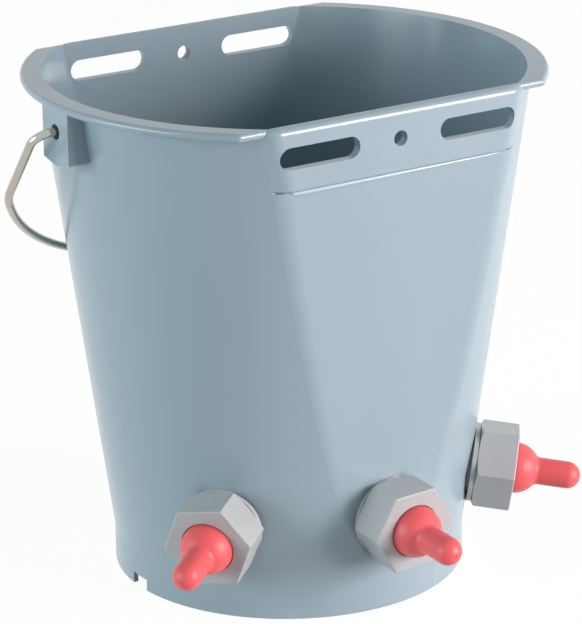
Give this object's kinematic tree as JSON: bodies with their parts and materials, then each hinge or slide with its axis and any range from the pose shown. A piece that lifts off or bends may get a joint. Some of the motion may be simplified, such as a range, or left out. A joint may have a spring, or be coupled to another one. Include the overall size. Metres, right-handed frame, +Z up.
{
  "type": "calf feeding bucket with teats",
  "caption": "Round plastic feeding bucket with two flat slotted sides, a hinged wire bail, and soft rubber teats held low on its front by hexagonal union nuts.",
  "frame": {"origin": "centre of the foot ring, on the ground", "axes": "+Z up; X along the two flats, bail pivots on X; the middle teat points to -Y"},
  "size_m": [0.2908, 0.2589, 0.265],
  "materials": {
    "tub": "satin moulded blue-grey plastic",
    "bail_wire": "zinc-plated round wire",
    "fitting": "light grey moulded plastic",
    "gasket": "black rubber",
    "valve_cage": "natural white plastic",
    "valve_ball": "polished stainless ball",
    "teat": "satin coral-red rubber"
  },
  "bodies": {
    "bucket": {"bucket_body": "tub", "left_spigot": "fitting", "left_gasket": "gasket", "left_collar": "fitting", "left_valve_cage": "valve_cage", "middle_spigot": "fitting", "middle_gasket": "gasket", "middle_collar": "fitting", "middle_valve_cage": "valve_cage", "right_spigot": "fitting", "right_gasket": "gasket", "right_collar": "fitting", "right_valve_cage": "valve_cage"},
    "bail": {"bail_handle": "bail_wire"},
    "left_teat": {"left_teat": "teat"},
    "left_nut": {"left_union_nut": "fitting"},
    "left_ball": {"left_valve_ball": "valve_ball"},
    "middle_teat": {"middle_teat": "teat"},
    "middle_nut": {"middle_union_nut": "fitting"},
    "middle_ball": {"middle_valve_ball": "valve_ball"},
    "right_teat": {"right_teat": "teat"},
    "right_nut": {"right_union_nut": "fitting"},
    "right_ball": {"right_valve_ball": "valve_ball"}
  },
  "joints": [
    {"name": "bail_swing", "type": "hinge", "parent": "bucket", "child": "bail", "pos_m": [0, 0, 0.2506], "axis": [1, 0, 0], "range_deg": [0, 271.44]},
    {"name": "left_teat_slide", "type": "slide", "parent": "bucket", "child": "left_teat", "axis": [-0.7883, -0.6006, -0.1336], "range_m": [0, 0.012]},
    {"name": "left_nut_turn", "type": "hinge", "parent": "left_teat", "child": "left_nut", "pos_m": [-0.07648, -0.05826, 0.051], "axis": [-0.7883, -0.6006, -0.1336], "range_deg": [0, 1080]},
    {"name": "left_ball_lift", "type": "slide", "parent": "bucket", "child": "left_ball", "axis": [-0.7883, -0.6006, -0.1336], "range_m": [-0.0024, 0]},
    {"name": "middle_teat_slide", "type": "slide", "parent": "bucket", "child": "middle_teat", "axis": [0, -0.9992, -0.0407], "range_m": [0, 0.012]},
    {"name": "middle_nut_turn", "type": "hinge", "parent": "middle_teat", "child": "middle_nut", "pos_m": [0, -0.09319, 0.051], "axis": [0, -0.9992, -0.0407], "range_deg": [0, 1080]},
    {"name": "middle_ball_lift", "type": "slide", "parent": "bucket", "child": "middle_ball", "axis": [0, -0.9992, -0.0407], "range_m": [-0.0024, 0]},
    {"name": "right_teat_slide", "type": "slide", "parent": "bucket", "child": "right_teat", "axis": [0.7883, -0.6006, -0.1336], "range_m": [0, 0.012]},
    {"name": "right_nut_turn", "type": "hinge", "parent": "right_teat", "child": "right_nut", "pos_m": [0.07648, -0.05826, 0.051], "axis": [0.7883, -0.6006, -0.1336], "range_deg": [0, 1080]},
    {"name": "right_ball_lift", "type": "slide", "parent": "bucket", "child": "right_ball", "axis": [0.7883, -0.6006, -0.1336], "range_m": [-0.0024, 0]}
  ],
  "couplings": [
    {"joint": "left_teat_slide", "follows": "left_nut_turn", "m_per_rad": 0.000636},
    {"joint": "middle_teat_slide", "follows": "middle_nut_turn", "m_per_rad": 0.000636},
    {"joint": "right_teat_slide", "follows": "right_nut_turn", "m_per_rad": 0.000636}
  ]
}
